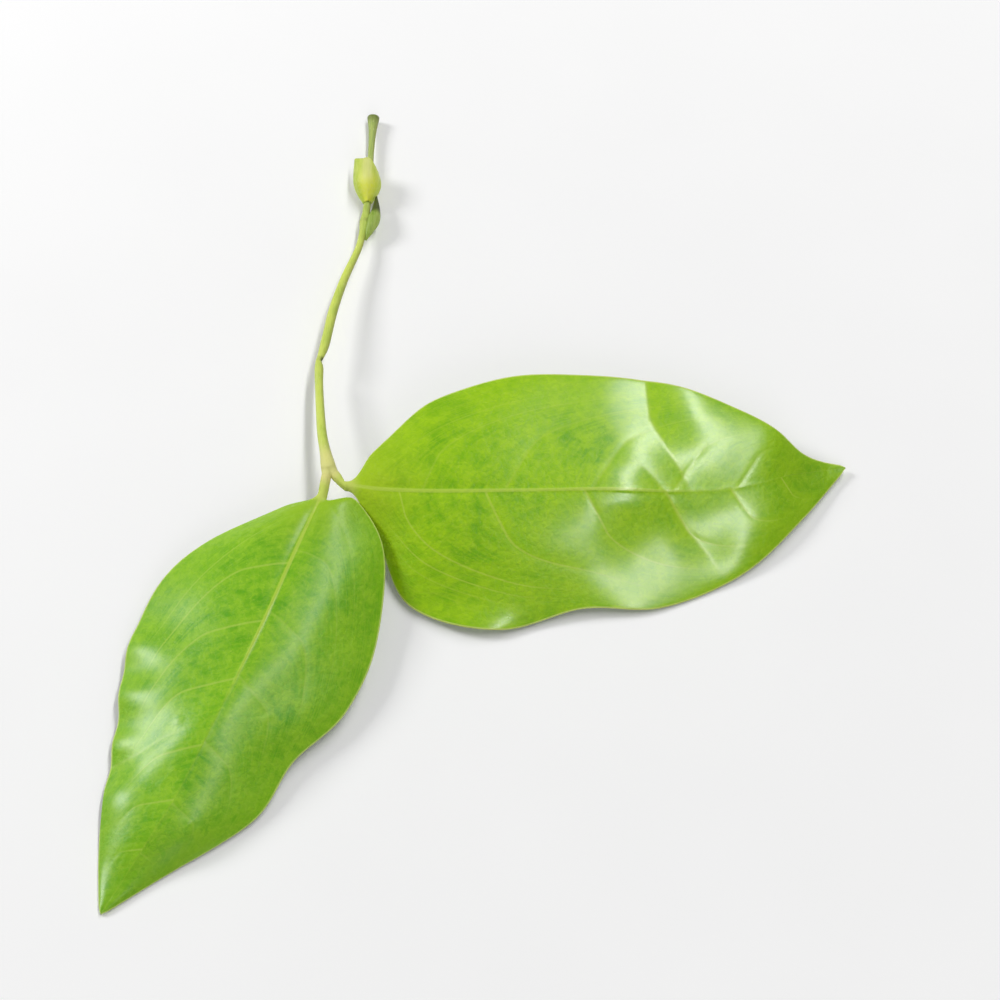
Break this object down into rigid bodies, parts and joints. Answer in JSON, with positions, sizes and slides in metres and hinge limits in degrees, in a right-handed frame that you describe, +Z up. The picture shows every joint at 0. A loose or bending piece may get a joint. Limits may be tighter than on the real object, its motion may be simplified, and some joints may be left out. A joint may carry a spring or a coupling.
{
  "type": "melinjo leaf sprig",
  "caption": "Picked melinjo sprig lying down: jointed green stem forking into broad glossy pointed leaves, with a small cupped leaf and a bud near its snapped end.",
  "frame": {"origin": "on the table the sprig lies on, under the middle of its bounding box", "axes": "+Z up from the table, +Y along the stem from the leaf pair to the snapped end, +X along the right leaf"},
  "size_m": [0.1806, 0.2434, 0.0167],
  "materials": {
    "stem": "satin pale yellow-green stalk skin, darker at the snapped end",
    "leaf_right": "waxy bright yellow-green leaf with sunken side veins and a pale midrib, duller and paler underneath",
    "leaf_left": "waxy mid-green leaf, lightly puckered between its veins, duller and paler underneath",
    "young_leaf": "tender pale yellow-green skin",
    "bud": "satin green bud scales"
  },
  "bodies": {
    "root": {"stem": "stem", "leaf_right": "leaf_right", "leaf_left": "leaf_left", "young_leaf": "young_leaf", "bud": "bud"}
  },
  "joints": []
}
